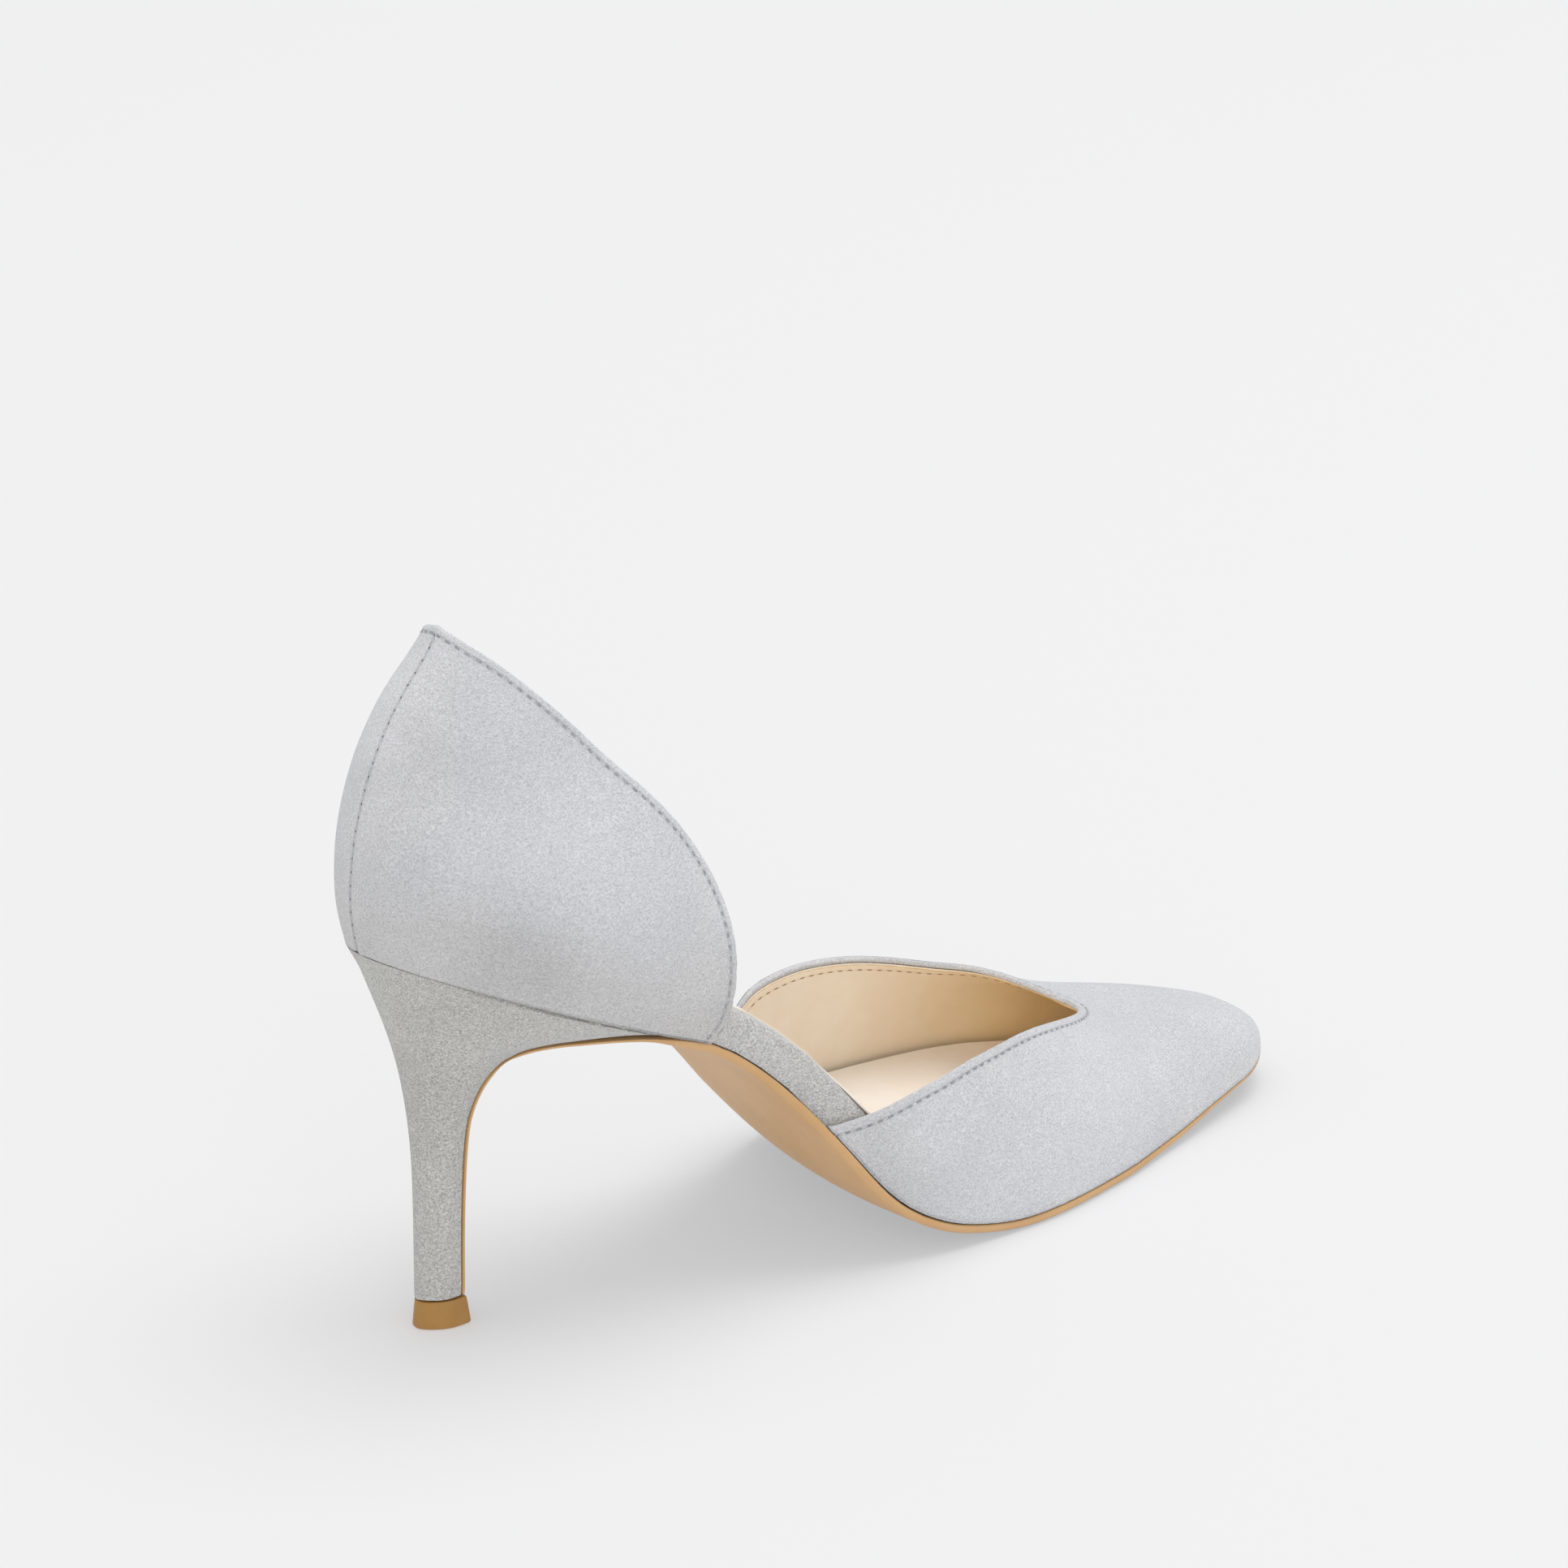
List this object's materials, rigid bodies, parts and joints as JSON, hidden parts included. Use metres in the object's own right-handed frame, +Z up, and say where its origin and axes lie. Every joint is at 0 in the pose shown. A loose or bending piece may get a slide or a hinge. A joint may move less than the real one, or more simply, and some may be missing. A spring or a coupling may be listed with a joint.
{
  "type": "high heel shoe",
  "caption": "Suede open-waist court shoe with an almond toe, V throat, cupped heel quarter, slim curved covered heel and thin leather sole.",
  "frame": {"origin": "under the middle of the shoe's box, on the floor it stands on", "axes": "+X along the shoe towards the toe, +Y towards the inner side of the foot, +Z up"},
  "size_m": [0.2314, 0.0756, 0.1449],
  "materials": {
    "vamp": "pale grey-blue suede outside, cream lining inside",
    "quarter": "pale grey-blue suede outside, cream lining inside",
    "insole": "cream leather on top, suede on the edge",
    "outsole": "smooth tan leather",
    "heel": "pale grey-blue suede over a moulded core",
    "heel_tip": "hard tan-brown rubber, satin"
  },
  "bodies": {
    "root": {"vamp": "vamp", "quarter": "quarter", "insole": "insole", "outsole": "outsole", "heel": "heel", "heel_tip": "heel_tip"}
  },
  "joints": []
}
